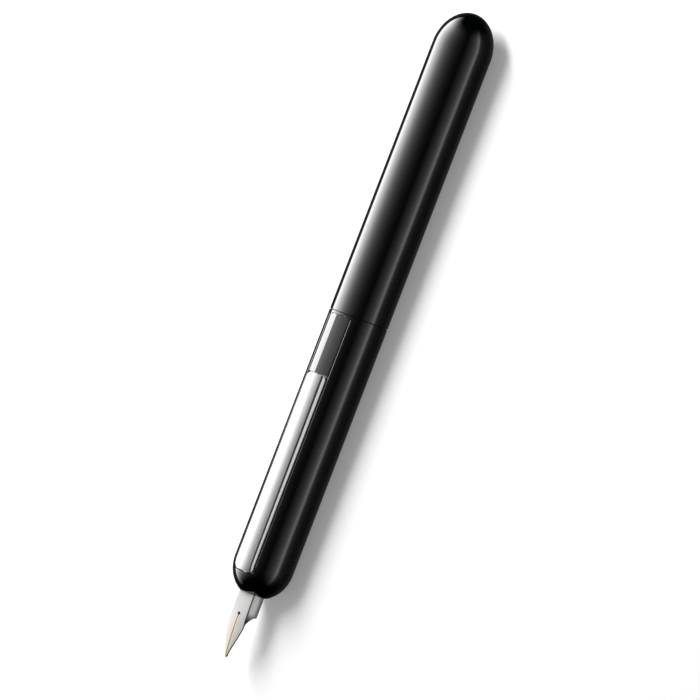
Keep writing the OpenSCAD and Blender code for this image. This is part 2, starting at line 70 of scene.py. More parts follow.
class Val:
    """One number or colour socket, with Python's operators turned into Math nodes."""

    def __init__(self, tree: "Tree", socket: bpy.types.NodeSocket) -> None:
        """Keeps the tree and the output socket.

        Args:
            tree: the tree that new nodes go into.
            socket: the output socket that holds the value.
        """
        self.tree = tree
        self.socket = socket

    def _math(self, operation: str, *values: object) -> "Val":
        """Adds one Math node.

        Args:
            operation: the node's operation.
            values: sockets or numbers for its inputs.

        Returns:
            The node's result.
        """
        return self.tree.node("ShaderNodeMath", {"operation": operation}, dict(enumerate(values)))

    def __add__(self, other: object) -> "Val":
        """Adds."""
        return self._math("ADD", self, other)

    __radd__ = __add__

    def __sub__(self, other: object) -> "Val":
        """Subtracts."""
        return self._math("SUBTRACT", self, other)

    def __rsub__(self, other: object) -> "Val":
        """Subtracts this value from another."""
        return self._math("SUBTRACT", other, self)

    def __mul__(self, other: object) -> "Val":
        """Multiplies."""
        return self._math("MULTIPLY", self, other)

    __rmul__ = __mul__

    def __truediv__(self, other: object) -> "Val":
        """Divides."""
        return self._math("DIVIDE", self, other)

    def abs(self) -> "Val":
        """The value without its sign."""
        return self._math("ABSOLUTE", self)

    def step(self, low: object, high: object) -> "Val":
        """Goes smoothly from 0 at low to 1 at high.

        Args:
            low: where the result leaves 0.
            high: where the result reaches 1.

        Returns:
            The smooth step.
        """
        settings = {"interpolation_type": "SMOOTHSTEP"}
        return self.tree.node("ShaderNodeMapRange", settings, {0: self, 1: low, 2: high, 3: 0.0, 4: 1.0})


class Tree:
    """A node tree with one method that adds any node."""

    def __init__(self, tree: bpy.types.NodeTree) -> None:
        """Wraps and empties a tree.

        Args:
            tree: the tree to build in.
        """
        self.tree = tree
        self.tree.nodes.clear()

    def raw(self, kind: str, settings: dict[str, object], inputs: dict[object, object]) -> bpy.types.Node:
        """Adds a node, sets it and feeds its sockets.

        Args:
            kind: the node's type.
            settings: attributes to set first; "stops" holds a ramp's (place, colour) pairs.
            inputs: socket index or name to a number, a colour or a Val.

        Returns:
            The new node.
        """
        node = self.tree.nodes.new(kind)
        stops = settings.get("stops")
        for key, value in settings.items():
            if key != "stops":
                setattr(node, key, value)
        if stops:
            self._set_stops(node.color_ramp, stops)
        for key, value in inputs.items():
            socket = node.inputs[key]
            if isinstance(value, Val):
                self.tree.links.new(value.socket, socket)
            elif isinstance(value, (tuple, list)) and len(value) == 3 and socket.type == "RGBA":
                socket.default_value = (*value, 1.0)
            else:
                socket.default_value = value
        return node

    @staticmethod
    def _set_stops(ramp: bpy.types.ColorRamp, stops: Sequence[tuple[float, object]]) -> None:
        """Fills a colour ramp.

        Args:
            ramp: the ramp.
            stops: (place, grey value or colour) pairs in order.
        """
        while len(ramp.elements) > 1:
            ramp.elements.remove(ramp.elements[-1])
        for index, (place, value) in enumerate(stops):
            stop = ramp.elements[0] if index == 0 else ramp.elements.new(place)
            stop.position = place
            colour = value if isinstance(value, tuple) else (value, value, value)
            stop.color = (*colour, 1.0)

    def node(self, kind: str, settings: dict[str, object] | None = None,
             inputs: dict[object, object] | None = None, out: int | str = 0) -> Val:
        """Adds a node and gives one of its outputs.

        Args:
            kind: the node's type.
            settings: attributes to set first.
            inputs: socket index or name to value.
            out: the output to give.

        Returns:
            The output as a Val.
        """
        return Val(self, self.raw(kind, settings or {}, inputs or {}).outputs[out])

    def link(self, value: Val, node: bpy.types.Node, name: str) -> None:
        """Links a value to a named input."""
        self.tree.links.new(value.socket, node.inputs[name])


class Axis(Enum):
    """The axis along which marks are drawn out."""

    LENGTH = 0
    ROUND = 1


@dataclass(frozen=True)
class Finish:
    """What every finish has: a name, a colour and the fixed numbers of its shader."""

    name: str
    colour: Point
    metallic: float = 0.0
    roughness: float = 0.3
    ior: float = 1.5
    coat: float = 0.0
    coat_roughness: float = 0.03
    transmission: float = 0.0
    wear: float = 0.15
    grain: float = 0.0
    grain_scale: float = 900.0
    grain_axis: Axis = Axis.LENGTH

    def build(self) -> bpy.types.Material:
        """Makes the material.

        Returns:
            The material, with its nodes.
        """
        material = bpy.data.materials.new(self.name)
        material.use_nodes = True
        tree = Tree(material.node_tree)
        place = tree.node("ShaderNodeTexCoord", out="Object")
        shader = tree.raw("ShaderNodeBsdfPrincipled", {}, {
            "IOR": self.ior, "Coat Weight": self.coat, "Coat Roughness": self.coat_roughness,
            "Transmission Weight": self.transmission})
        self.dress(tree, place, shader)
        surface = Val(tree, shader.outputs[0])
        tree.raw("ShaderNodeOutputMaterial", {}, {"Surface": surface})
        return material

    def noise(self, tree: Tree, place: Val, scale: float, stretch: Point = (1.0, 1.0, 1.0), detail: float = 3.0) -> Val:
        """Noise in the piece's own space.

        Args:
            tree: the tree.
            place: the coordinates.
            scale: how many features there are in a metre.
            stretch: how much each axis is scaled first.
            detail: the noise's octaves.

        Returns:
            The noise, from 0 to 1.
        """
        moved = tree.node("ShaderNodeMapping", {}, {"Vector": place, "Scale": stretch})
        return tree.node("ShaderNodeTexNoise", {}, {"Vector": moved, "Scale": scale, "Detail": detail})

    def mix(self, tree: Tree, factor: Val, first: object, second: object) -> Val:
        """Mixes two colours.

        Args:
            tree: the tree.
            factor: 0 for the first, 1 for the second.
            first: a colour or a Val.
            second: a colour or a Val.

        Returns:
            The mixed colour.
        """
        def full(value: object) -> object:
            """Gives a colour its fourth number."""
            return value if isinstance(value, Val) else (*value, 1.0)
        settings = {"data_type": "RGBA", "blend_type": "MIX"}
        node = tree.raw("ShaderNodeMix", settings, {0: factor, 6: full(first), 7: full(second)})
        return Val(tree, node.outputs[2])

    def bump(self, tree: Tree, height: Val, strength: float, distance: float) -> Val:
        """A bump that feeds Normal.

        Args:
            tree: the tree.
            height: the height.
            strength: how strong the bump is.
            distance: the depth in metres.

        Returns:
            The bent normal.
        """
        return tree.node("ShaderNodeBump", {}, {"Height": height, "Strength": strength, "Distance": distance})

    def dress(self, tree: Tree, place: Val, shader: bpy.types.Node) -> None:
        """Feeds colour, roughness and normal.

        Args:
            tree: the tree.
            place: object coordinates.
            shader: the Principled node.
        """
        cloud = self.noise(tree, place, 160.0)
        darker = tuple(c * (1.0 - self.wear) for c in self.colour)
        tree.link(self.mix(tree, cloud, self.colour, darker), shader, "Base Color")
        shader.inputs["Metallic"].default_value = self.metallic
        rough = self.roughness * (1.0 - self.wear) + cloud * (2.0 * self.roughness * self.wear)
        if self.grain > 0.0:
            stretch = (0.03, 1.0, 1.0) if self.grain_axis is Axis.LENGTH else (1.0, 0.03, 0.03)
            lines = self.noise(tree, place, self.grain_scale * 10.0, stretch, 2.0)
            rough = rough + (lines - 0.5) * (self.grain * self.roughness)
            tree.link(self.bump(tree, lines, self.grain, 4e-6), shader, "Normal")
        tree.link(rough, shader, "Roughness")


@dataclass(frozen=True)
class Lacquer(Finish):
    """Deep black lacquer, rubbed to a high gloss, with the faintest waviness and hairlines."""

    cool: Point = (0.0009, 0.0012, 0.0014)

    def dress(self, tree: Tree, place: Val, shader: bpy.types.Node) -> None:
        """Feeds a black that is a touch cooler in places, hairline roughness and a slow wave."""
        cloud = self.noise(tree, place, 90.0)
        tree.link(self.mix(tree, cloud, self.colour, self.cool), shader, "Base Color")
        hair = self.noise(tree, place, 5200.0, (0.05, 1.0, 1.0), 4.0).step(0.66, 0.82)
        tree.link(self.roughness + hair * 0.02 + cloud * 0.008, shader, "Roughness")
        wave = self.noise(tree, place, 60.0, (0.4, 1.0, 1.0), 1.0)
        tree.link(self.bump(tree, wave, 0.05, 2e-5), shader, "Normal")


@dataclass(frozen=True)
class ClipMetal(Finish):
    """Plated metal, brushed along its length and then polished."""

    def dress(self, tree: Tree, place: Val, shader: bpy.types.Node) -> None:
        """Feeds long brushed streaks to colour, roughness and normal."""
        fine = self.noise(tree, place, 5200.0, (0.012, 1.0, 1.0), 3.0)
        broad = self.noise(tree, place, 700.0, (0.03, 1.0, 1.0), 2.0)
        streak = fine * 0.65 + broad * 0.35
        dark = tuple(c * 0.8 for c in self.colour)
        tree.link(self.mix(tree, streak.step(0.3, 0.72), dark, self.colour), shader, "Base Color")
        shader.inputs["Metallic"].default_value = 1.0
        tree.link(self.roughness + (fine - 0.5) * 0.12, shader, "Roughness")
        tree.link(self.bump(tree, fine, 0.18, 3e-6), shader, "Normal")


@dataclass(frozen=True)
class TwoToneNib(Finish):
    """Plated nib metal with a gilded band on both sides of the slit, painted light and shade on its wings and painted
    shade along its fold, rim and slit.
    """

    gold: Point = (0.66, 0.565, 0.38)
    tip_x: float = 0.0
    vent_x: float = 0.0
    band_half: float = 0.5 * MM
    top_z: float = 0.0
    band_depth: float = 1.6 * MM
    plating: float = 0.16
    slit_half: float = 0.06 * MM
    # painted_edge_shade is painted shade: a near-black line along the fold and along the wings' lower rim.
    painted_edge_shade: Point = (0.05, 0.05, 0.052)
    # painted_wing_light is painted light high on the wings; painted_wing_shade is painted shade towards their lower
    # edge.
    painted_wing_light: Point = (0.95, 0.95, 0.935)
    painted_wing_shade: Point = (0.13, 0.13, 0.13)
    # painted_slit_shade is painted shade along the edges of the slit.
    painted_slit_shade: Point = (0.03, 0.025, 0.015)

    def dress(self, tree: Tree, place: Val, shader: bpy.types.Node) -> None:
        """Feeds the two metals, painted light and shade on the wings, painted shade along the fold, the wings' lower
        rim and the slit, and a satin polish.
        """
        parts = tree.raw("ShaderNodeSeparateXYZ", {}, {0: place})
        x, y, z = (Val(tree, parts.outputs[i]) for i in range(3))
        wobble = self.noise(tree, place, 700.0)
        reach = self.vent_x - self.tip_x
        along = (x - self.tip_x) / reach
        half = self.band_half * (1.25 - along * 0.3) + (wobble - 0.5) * (0.08 * MM)
        across = 1.0 - (y.abs() / half).step(0.75, 1.15)
        before = 1.0 - along.step(0.93, 1.0)
        above = z.step(self.top_z - self.band_depth, self.top_z - self.band_depth + 0.3 * MM)
        band = across * before * above
        # Mask of the painted shade along the slit's edges.
        slit = (1.0 - (y.abs() / self.slit_half).step(1.02, 1.3)) * (1.0 - along.step(0.96, 1.0)) * above
        cloud = self.noise(tree, place, 420.0, (0.25, 1.0, 1.0))
        silver = self.mix(tree, cloud, self.colour, tuple(c * 0.88 for c in self.colour))
        gilded = self.mix(tree, band, silver, self.gold)
        facing = tree.raw("ShaderNodeSeparateXYZ", {}, {0: tree.node("ShaderNodeTexCoord", out="Normal")})
        side = Val(tree, facing.outputs[1]).abs()
        slim = 1.0 - along.step(0.8, 1.15)
        bent = side.step(0.22, 0.5) * (1.0 - side.step(0.9, 0.99) * (1.0 - slim))
        wing = side.step(0.9, 0.99) * (1.0 - slim) * y.abs().step(0.7 * MM, 1.0 * MM)
        # low masks the painted shade towards the wings' lower edge, rim the painted shade along that edge.
        low = 1.0 - z.step(self.top_z - 3.1 * MM, self.top_z - 1.7 * MM)
        rim = 1.0 - z.step(self.top_z - 3.4 * MM, self.top_z - 2.95 * MM)
        # Painted light on the wings, then painted shade lower down on them.
        lit_wing_paint = self.mix(tree, wing, gilded, self.painted_wing_light)
        shaded_wing_paint = self.mix(tree, wing * low * 0.85, lit_wing_paint, self.painted_wing_shade)
        # Painted shade along the fold and the wings' lower rim, then painted shade along the slit.
        edge_shade_paint = self.mix(tree, (bent + wing * rim).step(0.0, 1.1) * 0.9, shaded_wing_paint, self.painted_edge_shade)
        tree.link(self.mix(tree, slit, edge_shade_paint, self.painted_slit_shade), shader, "Base Color")
        tree.link(self.plating + bent * (1.0 - self.plating), shader, "Metallic")
        fine = self.noise(tree, place, 6000.0, (0.04, 1.0, 1.0))
        tree.link(self.roughness + (fine - 0.5) * 0.1 + cloud * 0.05, shader, "Roughness")
        tree.link(self.bump(tree, fine, 0.12, 3e-6), shader, "Normal")


@dataclass(frozen=True)
class ClearTube(Finish):
    """Clear moulded plastic with faint flow marks."""

    def dress(self, tree: Tree, place: Val, shader: bpy.types.Node) -> None:
        """Feeds a pale tint and slightly uneven gloss."""
        cloud = self.noise(tree, place, 220.0)
        tree.link(self.mix(tree, cloud, self.colour, (0.8, 0.86, 0.9)), shader, "Base Color")
        tree.link(self.roughness + cloud * 0.05, shader, "Roughness")
        shader.inputs["Alpha"].default_value = 0.35


@dataclass(frozen=True)
class Paper(Finish):
    """Matt white paper that is lit a little from below."""

    glow: float = 0.2

    def dress(self, tree: Tree, place: Val, shader: bpy.types.Node) -> None:
        """Feeds a barely uneven white, and the glow."""
        cloud = self.noise(tree, place, 3.0)
        tree.link(self.mix(tree, cloud, self.colour, tuple(c * 0.99 for c in self.colour)), shader, "Base Color")
        shader.inputs["Roughness"].default_value = 0.9
        shader.inputs["Emission Color"].default_value = (1.0, 1.0, 1.0, 1.0)
        shader.inputs["Emission Strength"].default_value = self.glow


# --------------------------------------------------------------------------- mesh building


def new_object(name: str, mesh: bpy.types.Mesh) -> bpy.types.Object:
    """Puts a mesh into the scene under a name.

    Args:
        name: the piece's name.
        mesh: its mesh.

    Returns:
        The new object, at the origin.
    """
    piece = bpy.data.objects.new(name, mesh)
    bpy.context.scene.collection.objects.link(piece)
    return piece


def mesh_from(name: str, points: Sequence[Sequence[float]], faces: Sequence[Sequence[int]]) -> bpy.types.Mesh:
    """Makes a mesh and turns its faces outward.

    Args:
        name: the mesh's name.
        points: the vertices.
        faces: the faces, as indices.

    Returns:
        The mesh.
    """
    mesh = bpy.data.meshes.new(name)
    mesh.from_pydata([tuple(p) for p in points], [], [tuple(f) for f in faces])
    shape = bmesh.new()
    shape.from_mesh(mesh)
    bmesh.ops.remove_doubles(shape, verts=shape.verts, dist=1e-8)
    bmesh.ops.recalc_face_normals(shape, faces=shape.faces)
    shape.to_mesh(mesh)
    shape.free()
    return mesh


def lathe(name: str, profile: Sequence[tuple[float, float]], axis_z: float, segments: int) -> bpy.types.Mesh:
    """Turns a closed profile of (x, radius) points about the pen's axis.

    Args:
        name: the mesh's name.
        profile: the points; a radius of 0 makes a pole.
        axis_z: the height of the axis.
        segments: the number of steps round.

    Returns:
        The mesh.
    """
    points: list[Point] = []
    rings: list[list[int]] = []
    for x, radius in profile:
        if radius < 1e-9:
            rings.append([len(points)] * segments)
            points.append((x, 0.0, axis_z))
            continue
        rings.append(list(range(len(points), len(points) + segments)))
        for k in range(segments):
            a = 2.0 * math.pi * k / segments
            points.append((x, radius * math.sin(a), axis_z + radius * math.cos(a)))
    faces: list[list[int]] = []
    for one, two in zip(rings, rings[1:] + rings[:1]):
        for k in range(segments):
            corner = [one[k], one[(k + 1) % segments], two[(k + 1) % segments], two[k]]
            face = list(dict.fromkeys(corner))
            if len(face) > 2:
                faces.append(face)
    return mesh_from(name, points, faces)


def prism(name: str, outline: Sequence[tuple[float, float]], place: Callable[[float, float, float], Point],
          low: float, high: float) -> bpy.types.Object:
    """Extrudes an outline between two levels.

    Args:
        name: the object's name.
        outline: a closed outline.
        place: turns (a, b, level) into a point.
        low: the first level.
        high: the last level.

    Returns:
        The prism.
    """
    count = len(outline)
    points = [place(a, b, level) for level in (low, high) for a, b in outline]
    faces = [[k, (k + 1) % count, count + (k + 1) % count, count + k] for k in range(count)]
    faces += [list(range(count))[::-1], list(range(count, 2 * count))]
    return new_object(name, mesh_from(name, points, faces))


def carve(piece: bpy.types.Object, cutter: bpy.types.Object, operation: str = "DIFFERENCE") -> None:
    """Cuts one piece with another and deletes the cutter.

    Args:
        piece: what is cut.
        cutter: what cuts it.
        operation: the Boolean operation.
    """
    step = piece.modifiers.new("cut", "BOOLEAN")
    step.object = cutter
    step.operation = operation
    step.solver = "EXACT"
    apply_modifiers(piece)
    bpy.data.objects.remove(cutter, do_unlink=True)


def apply_modifiers(piece: bpy.types.Object) -> None:
    """Turns a piece and its modifiers into a plain mesh.

    Args:
        piece: the piece.
    """
    bpy.context.view_layer.update()
    graph = bpy.context.evaluated_depsgraph_get()
    mesh = bpy.data.meshes.new_from_object(piece.evaluated_get(graph))
    piece.modifiers.clear()
    piece.data = mesh


def smooth(piece: bpy.types.Object, angle: float = 28.0) -> None:
    """Shades a piece smooth, with sharp edges past an angle.

    Args:
        piece: the piece.
        angle: the angle in degrees.
    """
    piece.data.shade_smooth()
    piece.data.set_sharp_from_angle(angle=math.radians(angle))


def smooth_turned(piece: bpy.types.Object, axis_z: float, radius_at: Callable[[np.ndarray], np.ndarray],
                  slope_at: Callable[[np.ndarray], np.ndarray], reach: float = 2e-6) -> None:
    """Gives the outer skin of a turned piece the exact normals of its profile.

    Args:
        piece: the piece.
        axis_z: the height of the axis.
        radius_at: the skin's radius for each x.
        slope_at: the profile's slope for each x.
        reach: how close to the skin a corner must lie.
    """
    smooth(piece)
    mesh = piece.data
    count = len(mesh.loops)
    corners = np.zeros(count, dtype=np.int32)
    mesh.loops.foreach_get("vertex_index", corners)
    verts = np.zeros(len(mesh.vertices) * 3)
    mesh.vertices.foreach_get("co", verts)
    verts = verts.reshape(-1, 3)[corners]
    normals = np.zeros(count * 3, dtype=np.float32)
    mesh.corner_normals.foreach_get("vector", normals)
    normals = normals.reshape(-1, 3).astype(float)
    face_normals = np.zeros(len(mesh.polygons) * 3, dtype=np.float32)
    mesh.polygons.foreach_get("normal", face_normals)
    face_normals = face_normals.reshape(-1, 3)
    sizes = np.zeros(len(mesh.polygons), dtype=np.int32)
    mesh.polygons.foreach_get("loop_total", sizes)
    per_corner = np.repeat(face_normals, sizes, axis=0)
    side = np.stack([verts[:, 1], verts[:, 2] - axis_z], axis=1)
    radius = np.linalg.norm(side, axis=1)
    slope = slope_at(verts[:, 0])
    exact = np.stack([-slope, side[:, 0] / np.maximum(radius, 1e-9), side[:, 1] / np.maximum(radius, 1e-9)], axis=1)
    exact /= np.linalg.norm(exact, axis=1, keepdims=True)
    on_skin = (np.abs(radius - radius_at(verts[:, 0])) < reach) & (np.sum(exact * per_corner, axis=1) > 0.93)
    normals[on_skin] = exact[on_skin]
    mesh.normals_split_custom_set([tuple(n) for n in normals])


def arc(centre: tuple[float, float], radii: tuple[float, float], start: float, end: float,
        steps: int) -> list[tuple[float, float]]:
    """Points along an arc of an ellipse.

    Args:
        centre: its centre.
        radii: its two half axes.
        start: the first angle in degrees.
        end: the last angle in degrees.
        steps: how many steps.

    Returns:
        The points, both ends included.
    """
    turn = [math.radians(start + (end - start) * i / steps) for i in range(steps + 1)]
    return [(centre[0] + radii[0] * math.cos(a), centre[1] + radii[1] * math.sin(a)) for a in turn]


def rounded_slot(x0: float, x1: float, half: float, radius: float, steps: int = 10) -> list[tuple[float, float]]:
    """Outline of a rectangle with rounded corners.

    Args:
        x0: its low end.
        x1: its high end.
        half: half its width.
        radius: the corners' radius.
        steps: the steps in each corner.

    Returns:
        The outline, anticlockwise.
    """
    outline: list[tuple[float, float]] = []
    corners = (((x1 - radius, half - radius), 0.0), ((x0 + radius, half - radius), 90.0),
               ((x0 + radius, -half + radius), 180.0), ((x1 - radius, -half + radius), 270.0))
    for centre, start in corners:
        outline += arc(centre, (radius, radius), start, start + 90.0, steps)
    return outline


# --------------------------------------------------------------------------- sizes shared by the pieces


@dataclass(frozen=True)
class Frame:
    """Where the pen lies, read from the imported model."""

    mouth_x: float
    axis_z: float
    radius: float
    seam_front: float
    seam_rear: float
    rear_x: float

    @classmethod
    def read(cls) -> "Frame":
        """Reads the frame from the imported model's boxes.

        Returns:
            The frame.
        """
        low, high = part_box("front_barrel")
        rear_low, rear_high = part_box("rear_barrel")
        return cls(low[0], (low[2] + high[2]) / 2.0, (high[1] - low[1]) / 2.0, high[0], rear_low[0], rear_high[0])

    def x(self, station: float) -> float:
        """X of a station, given in millimetres behind the mouth."""
        return self.mouth_x + station * MM


@dataclass(frozen=True)
class BodyShape:
    """The outside profile of the barrels, in metres."""

    frame: Frame
    nose_axis: float = 7.75 * MM
    mouth_radius: float = 3.1 * MM
    lip: float = 0.12 * MM
    dome: float = 8.9 * MM

    @property
    def nose_x(self) -> float:
        """X at which the nose's ellipse meets the straight barrel."""
        start = math.asin((self.mouth_radius + self.lip) / self.frame.radius)
        return self.frame.mouth_x + self.nose_axis * math.cos(start)

    @property
    def dome_x(self) -> float:
        """X at which the rear dome begins."""
        return self.frame.rear_x - self.dome

    def radius_at(self, x: np.ndarray) -> np.ndarray:
        """Radius of the skin.

        Args:
            x: places along the pen.

        Returns:
            The radius at each place.
        """
        front = np.clip((self.nose_x - x) / self.nose_axis, 0.0, 1.0)
        rear = np.clip((x - self.dome_x) / self.dome, 0.0, 1.0)
        return self.frame.radius * np.sqrt(np.maximum(1.0 - front ** 2 - rear ** 2, 0.0))

    def slope_at(self, x: np.ndarray) -> np.ndarray:
        """Slope of the skin.

        Args:
            x: places along the pen.

        Returns:
            How fast the radius grows with x.
        """
        front = np.clip((self.nose_x - x) / self.nose_axis, 0.0, 1.0)
        rear = np.clip((x - self.dome_x) / self.dome, 0.0, 1.0)
        root = np.sqrt(np.maximum(1.0 - front ** 2 - rear ** 2, 1e-6))
        return self.frame.radius * (front / self.nose_axis - rear / self.dome) / root


@dataclass
class Part:
    """A sub-assembly: it keeps the frame, the body's shape and what it has made."""

    frame: Frame
    shape: BodyShape
    made: list[bpy.types.Object] = field(default_factory=list)

    def finish_piece(self, piece: bpy.types.Object, body: str, nodes: Iterable[str], finish: Finish,
                     slot: str) -> bpy.types.Object:
        """Gives a piece its material and body.

        Args:
            piece: the finished piece.
            body: the body that it rides on.
            nodes: the CAD nodes that it stands for.
            finish: its finish.
            slot: the record's material slot; it is not used.

        Returns:
            The piece.
        """
        piece.data.materials.clear()
        piece.data.materials.append(FINISHES.material(finish))
        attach(piece, body)
        names = list(nodes)
        if names:
            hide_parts(*names)
        self.made.append(piece)
        LOG.info("%s rides on %s, %d faces", piece.name, body, len(piece.data.polygons))
        return piece


class FinishShelf:
    """Makes each finish's material once."""

    def __init__(self) -> None:
        """Starts empty."""
        self.kept: dict[str, bpy.types.Material] = {}

    def material(self, finish: Finish) -> bpy.types.Material:
        """Gives the material of a finish.

        Args:
            finish: the finish.

        Returns:
            Its material.
        """
        if finish.name not in self.kept:
            self.kept[finish.name] = finish.build()
        return self.kept[finish.name]


FINISHES = FinishShelf()
LACQUER = Lacquer("black_lacquer", (0.0005, 0.0006, 0.0007), roughness=0.02, ior=2.3)
CLIP_METAL = ClipMetal("clip_plate", (0.58, 0.585, 0.59), metallic=1.0, roughness=0.34)
# Near-black steel for the clip's lever: its dark colour is painted shade where the lever shows in the gap by the clip.
PAINTED_SHADE_STEEL = Finish("painted_shade_steel", (0.02, 0.021, 0.024), 1.0, 0.35, grain=0.3)
SPRING_STEEL = Finish("spring_steel", (0.5, 0.51, 0.53), 1.0, 0.28, grain=0.4)
POLISHED_STEEL = Finish("polished_steel", (0.66, 0.67, 0.69), 1.0, 0.12, grain=0.15, grain_axis=Axis.ROUND)
TURNED_ALLOY = Finish("turned_alloy", (0.6, 0.61, 0.63), 1.0, 0.3, grain=0.5, grain_axis=Axis.ROUND)
BRASS = Finish("turned_brass", (0.72, 0.53, 0.24), 1.0, 0.26, grain=0.4, grain_axis=Axis.ROUND)
BLACK_PLASTIC = Finish("black_plastic", (0.012, 0.012, 0.014), 0.0, 0.22, grain=0.1)
FEED_PLASTIC = Finish("feed_plastic", (0.01, 0.01, 0.011), 0.0, 0.42, grain=0.2)
RUBBER = Finish("seal_rubber", (0.02, 0.02, 0.021), 0.0, 0.6, grain=0.3, grain_axis=Axis.ROUND)
WHITE_PLASTIC = Finish("white_plastic", (0.75, 0.75, 0.74), 0.0, 0.35, wear=0.06, grain=0.1)
CLEAR = ClearTube("clear_tube", (0.86, 0.91, 0.94), roughness=0.06)
TIPPING = Finish("tipping_metal", (0.5, 0.46, 0.3), 1.0, 0.3)


@dataclass
class Barrels(Part):
    """The two lacquered barrels and the filler panel in the slot."""

    wall: float = 0.85 * MM
    nose_wall: float = 1.1 * MM
    slot_half: float = 2.93 * MM
    slot_start: float = 4.15
    slot_end: float = 64.8
    edge_fillet: float = 0.3 * MM
    corner: float = 1.2 * MM
    edge_round: float = 0.06 * MM
    ridge_y: float = 0.53 * MM
    ridge_drop: float = 0.03 * MM
    near_slope: tuple[float, float] = (0.0945, 34.6)
    far_slope: tuple[float, float] = (0.26, 15.0)
    panel_edge: float = 0.09 * MM
    segments: int = 256

    def front_profile(self) -> list[tuple[float, float]]:
        """Closed profile of the front barrel.

        Returns:
            (x, radius) points.
        """
        shape, frame = self.shape, self.frame
        radius = frame.radius
        bore = radius - self.wall
        start = math.degrees(math.asin((shape.mouth_radius + shape.lip) / radius))
        outer = [(shape.nose_x - shape.nose_axis * math.cos(math.radians(a)), radius * math.sin(math.radians(a)))
                 for a in np.linspace(start, 90.0, 56)]
        end = frame.seam_front
        r = self.edge_round
        rim = arc((end - r, radius - r), (r, r), 90.0, 0.0, 5)
        inner_axis = shape.nose_axis - self.nose_wall
        inner_start = math.degrees(math.asin(shape.mouth_radius / bore))
        inner = [(shape.nose_x - inner_axis * math.cos(math.radians(a)), bore * math.sin(math.radians(a)))
                 for a in np.linspace(90.0, inner_start, 24)]
        lip = arc((frame.mouth_x + shape.lip, shape.mouth_radius + shape.lip), (shape.lip, shape.lip), 270.0, 180.0, 4)
        return outer + rim + [(end, bore)] + inner + lip

    def slot_cutters(self) -> list[bpy.types.Object]:
        """Makes the slot's prism and the one that rounds its long edges.

        Returns:
            The two cutters.
        """
        frame = self.frame
        x0, x1 = frame.x(self.slot_start), frame.x(self.slot_end)
        outline = rounded_slot(x0, x1, self.slot_half, self.corner)
        slot = prism("slot_cut", outline, lambda a, b, level: (a, b, frame.axis_z + level),
                     frame.radius - self.wall - 1.2 * MM, frame.radius + 2.0 * MM)
        half, r = self.slot_half, self.edge_fillet
        centre = (half + r, math.sqrt((frame.radius - r) ** 2 - (half + r) ** 2))
        lean = math.degrees(math.atan2(centre[1], centre[0]))
        round_edge = arc(centre, (r, r), 180.0, lean, 10)
        side = [(half - 0.05 * MM, centre[1])] + round_edge + [(centre[0] + 1.0 * MM, frame.radius + 2.0 * MM)]
        flare = [(-a, b) for a, b in reversed(side)] + side
        rounding = prism("slot_rounding", flare, lambda a, b, level: (level, a, frame.axis_z + b),
                         x0 + 0.3 * self.corner, x1 - 0.3 * self.corner)
        return [slot, rounding]

    def build_front(self) -> bpy.types.Object:
        """Turns the front barrel and cuts its slot.

        Returns:
            The piece.
        """
        mesh = lathe("front_shell", self.front_profile(), self.frame.axis_z, self.segments)
        piece = new_object("front_shell", mesh)
        for cutter in self.slot_cutters():
            carve(piece, cutter)
        smooth_turned(piece, self.frame.axis_z, self.shape.radius_at, self.shape.slope_at)
        return self.finish_piece(piece, "front", ["front_barrel"], LACQUER, "lacquer")

    def build_rear(self) -> bpy.types.Object:
        """Turns the rear barrel.

        Returns:
            The piece.
        """
        shape, frame = self.shape, self.frame
        radius = frame.radius
        bore = radius - self.wall
        step_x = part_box("rear_bush")[0][0] - 0.1 * MM
        narrow = bore - 0.6 * MM
        r = self.edge_round
        start = arc((frame.seam_rear + r, radius - r), (r, r), 180.0, 90.0, 5)
        outer = arc((shape.dome_x, 0.0), (shape.dome, radius), 90.0, 0.0, 56)
        outer[-1] = (frame.rear_x, 0.0)
        inner = arc((shape.dome_x - 1.5 * MM, 0.0), (shape.dome - 2.0 * MM, narrow), 0.0, 90.0, 24)
        inner[0] = (inner[0][0], 0.0)
        profile = start + outer + inner + [(step_x, narrow), (step_x, bore), (frame.seam_rear, bore)]
        piece = new_object("rear_shell", lathe("rear_shell", profile, frame.axis_z, self.segments))
        smooth_turned(piece, frame.axis_z, shape.radius_at, shape.slope_at)
        return self.finish_piece(piece, "rear", ["rear_barrel"], LACQUER, "lacquer")

    def build_panel(self) -> bpy.types.Object:
        """Makes the black filler that closes the slot behind the clip.

        Returns:
            The piece.
        """
        frame = self.frame
        low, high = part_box("slot_panel")
        half, inner = high[1], frame.radius - self.wall
        ridge = frame.radius - self.ridge_drop

        def top(y: float) -> float:
            """Height of the panel above the axis: two shallow slopes that meet in a low ridge."""
            aside = abs(y - self.ridge_y)
            slope, bow = self.near_slope if y < self.ridge_y else self.far_slope
            return ridge - slope * aside - bow * aside ** 2

        r = self.panel_edge
        rise = [(y, top(y)) for y in np.linspace(-half + r, self.ridge_y, 24)]
        fall = [(y, top(y)) for y in np.linspace(self.ridge_y, half - r, 18)][1:]
        lift = math.asin(half / inner)
        under = [(inner * math.sin(a), inner * math.cos(a)) for a in np.linspace(lift, -lift, 22)]
        section = [(-half, top(-half) - r), (-half + 0.3 * r, top(-half) - 0.3 * r)] + rise + fall
        section += [(half - 0.3 * r, top(half) - 0.3 * r), (half, top(half) - r)] + under
        piece = prism("slot_filler", section, lambda a, b, level: (level, a, frame.axis_z + b), low[0], high[0])
        smooth(piece, 14.0)
        return self.finish_piece(piece, "front", ["slot_panel"], LACQUER, "lacquer")


